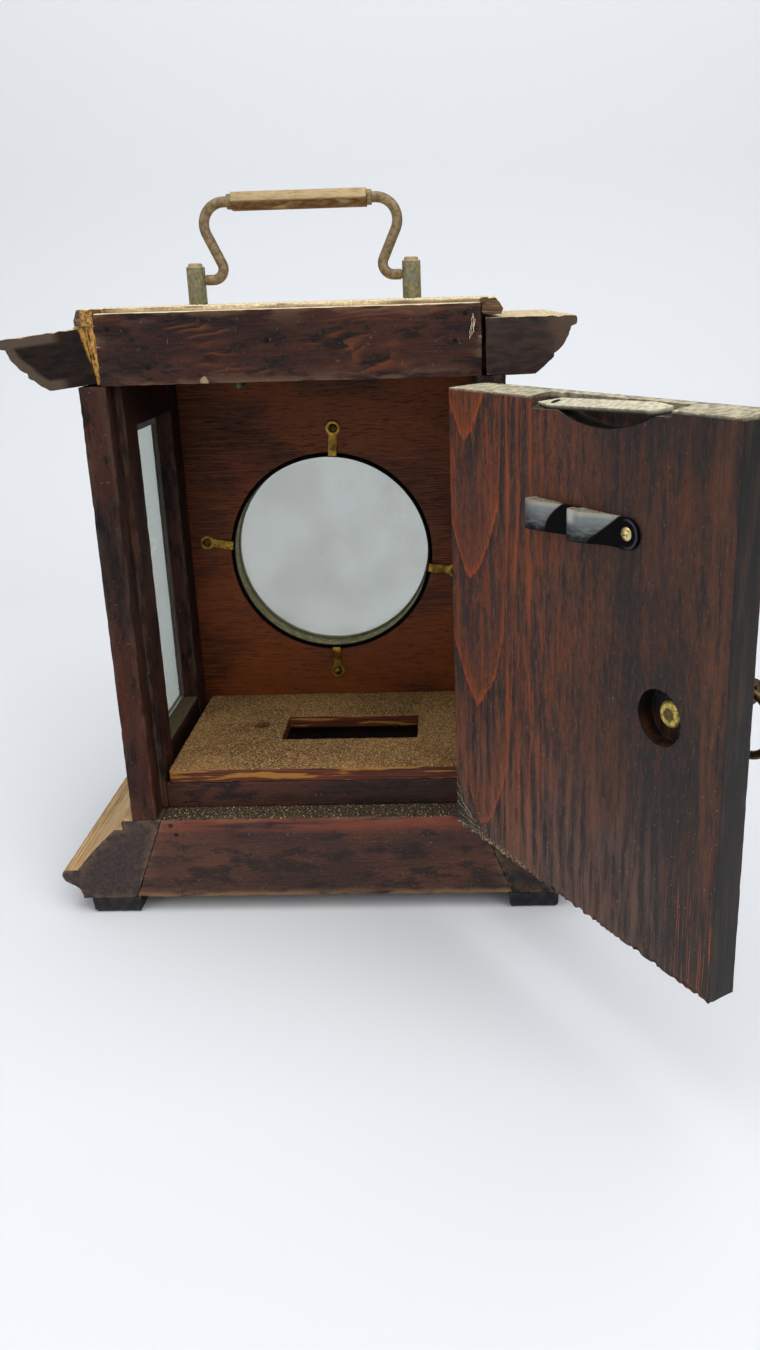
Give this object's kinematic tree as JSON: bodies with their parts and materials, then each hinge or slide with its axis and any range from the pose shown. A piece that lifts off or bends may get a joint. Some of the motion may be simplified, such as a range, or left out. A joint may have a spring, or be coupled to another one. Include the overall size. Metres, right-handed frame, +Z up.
{
  "type": "table clock case",
  "caption": "Wooden table clock case on a moulded base, with glazed sides, a round front glass, a hinged rear door with spring catch and ring pull, and a swinging carrying handle.",
  "frame": {"origin": "On the floor plane under the middle of the whole object's bounding box, with the rear door open as it is stored; the middle of the post cage is at x 22.7 mm, y -45.4 mm.", "axes": "+Z up; -Y towards the dial side, +Y towards the rear door; +X to the right of someone facing the dial; the door is hinged at -X."},
  "size_m": [0.2728, 0.2692, 0.2973],
  "materials": {
    "case_wood": "worn dark polish",
    "base_wood": "worn dark polish, dusty",
    "top_wood": "dusty dark polish",
    "door_wood": "worn figured veneer",
    "panel_wood": "bare reddish wood",
    "floor_wood": "bare wood under dust",
    "foot_wood": "black stain",
    "glass": "clear, bevelled, hazy",
    "black_metal": "black",
    "bronze": "dull antique patina",
    "brass": "aged yellow brass",
    "steel": "grey spring steel"
  },
  "bodies": {
    "case": {"base_moulding_front": "base_wood", "base_moulding_left": "base_wood", "base_moulding_right": "base_wood", "base_rear_board": "base_wood", "bezel_ring": "brass", "catch_striker": "brass", "ceiling_board": "top_wood", "cornice_front": "case_wood", "cornice_left": "case_wood", "cornice_right": "case_wood", "floor_board": "floor_wood", "floor_rail_front": "floor_wood", "floor_rail_rear": "floor_wood", "foot_front_left": "foot_wood", "foot_front_right": "foot_wood", "foot_rear_left": "foot_wood", "foot_rear_right": "foot_wood", "front_glass": "glass", "front_panel": "panel_wood", "glass_clip_screws": "brass", "glass_retainer": "black_metal", "handle_pillar_left": "bronze", "handle_pillar_right": "bronze", "hinge_leaf_case_lower": "brass", "hinge_leaf_case_upper": "brass", "hinge_pins": "brass", "hinge_screws_case": "brass", "pillar_nuts": "brass", "post_front_left": "case_wood", "post_front_right": "case_wood", "post_rear_left": "case_wood", "post_rear_right": "case_wood", "rear_rail_lower": "case_wood", "rear_rail_upper": "case_wood", "side_glass_left": "glass", "side_glass_right": "glass", "side_rail_lower_left": "case_wood", "side_rail_lower_right": "case_wood", "side_rail_upper_left": "case_wood", "side_rail_upper_right": "case_wood", "top_board": "top_wood"},
    "door": {"rear_door": "door_wood", "catch_leaf": "brass", "catch_screw": "steel", "key_clip": "steel", "key_clip_screw": "brass", "pull_stud": "bronze", "pull_nut": "brass", "hinge_leaf_door_lower": "brass", "hinge_leaf_door_upper": "brass", "hinge_screws_door": "brass"},
    "handle": {"handle_bail": "bronze", "handle_grip": "bronze", "grip_collars": "bronze"},
    "pull_ring": {"pull_ring": "bronze"},
    "glass_clip_right": {"glass_clip_right": "brass"},
    "glass_clip_top": {"glass_clip_top": "brass"},
    "glass_clip_left": {"glass_clip_left": "brass"},
    "glass_clip_bottom": {"glass_clip_bottom": "brass"}
  },
  "joints": [
    {"name": "back_door_swing", "type": "hinge", "parent": "case", "child": "door", "pos_m": [-0.04651, 0.01227, 0.1353], "axis": [0, 0, 1], "range_deg": [-123, 47]},
    {"name": "handle_swing", "type": "hinge", "parent": "case", "child": "handle", "pos_m": [0.02274, -0.04543, 0.2639], "axis": [1, 0, 0], "range_deg": [-100, 100]},
    {"name": "pull_ring_swing", "type": "hinge", "parent": "door", "child": "pull_ring", "pos_m": [-0.12898, 0.0919, 0.1323], "axis": [-0.5446, 0.8387, 0], "range_deg": [-75, 254]},
    {"name": "glass_clip_right_turn", "type": "hinge", "parent": "case", "child": "glass_clip_right", "pos_m": [0.08314, -0.08733, 0.14319], "axis": [0, 1, 0], "range_deg": [-90, 90]},
    {"name": "glass_clip_top_turn", "type": "hinge", "parent": "case", "child": "glass_clip_top", "pos_m": [0.01882, -0.08733, 0.19687], "axis": [0, 1, 0], "range_deg": [-90, 90]},
    {"name": "glass_clip_left_turn", "type": "hinge", "parent": "case", "child": "glass_clip_left", "pos_m": [-0.03726, -0.08733, 0.12637], "axis": [0, 1, 0], "range_deg": [-90, 90]},
    {"name": "glass_clip_bottom_turn", "type": "hinge", "parent": "case", "child": "glass_clip_bottom", "pos_m": [0.02274, -0.08733, 0.0754], "axis": [0, 1, 0], "range_deg": [-90, 90]}
  ]
}
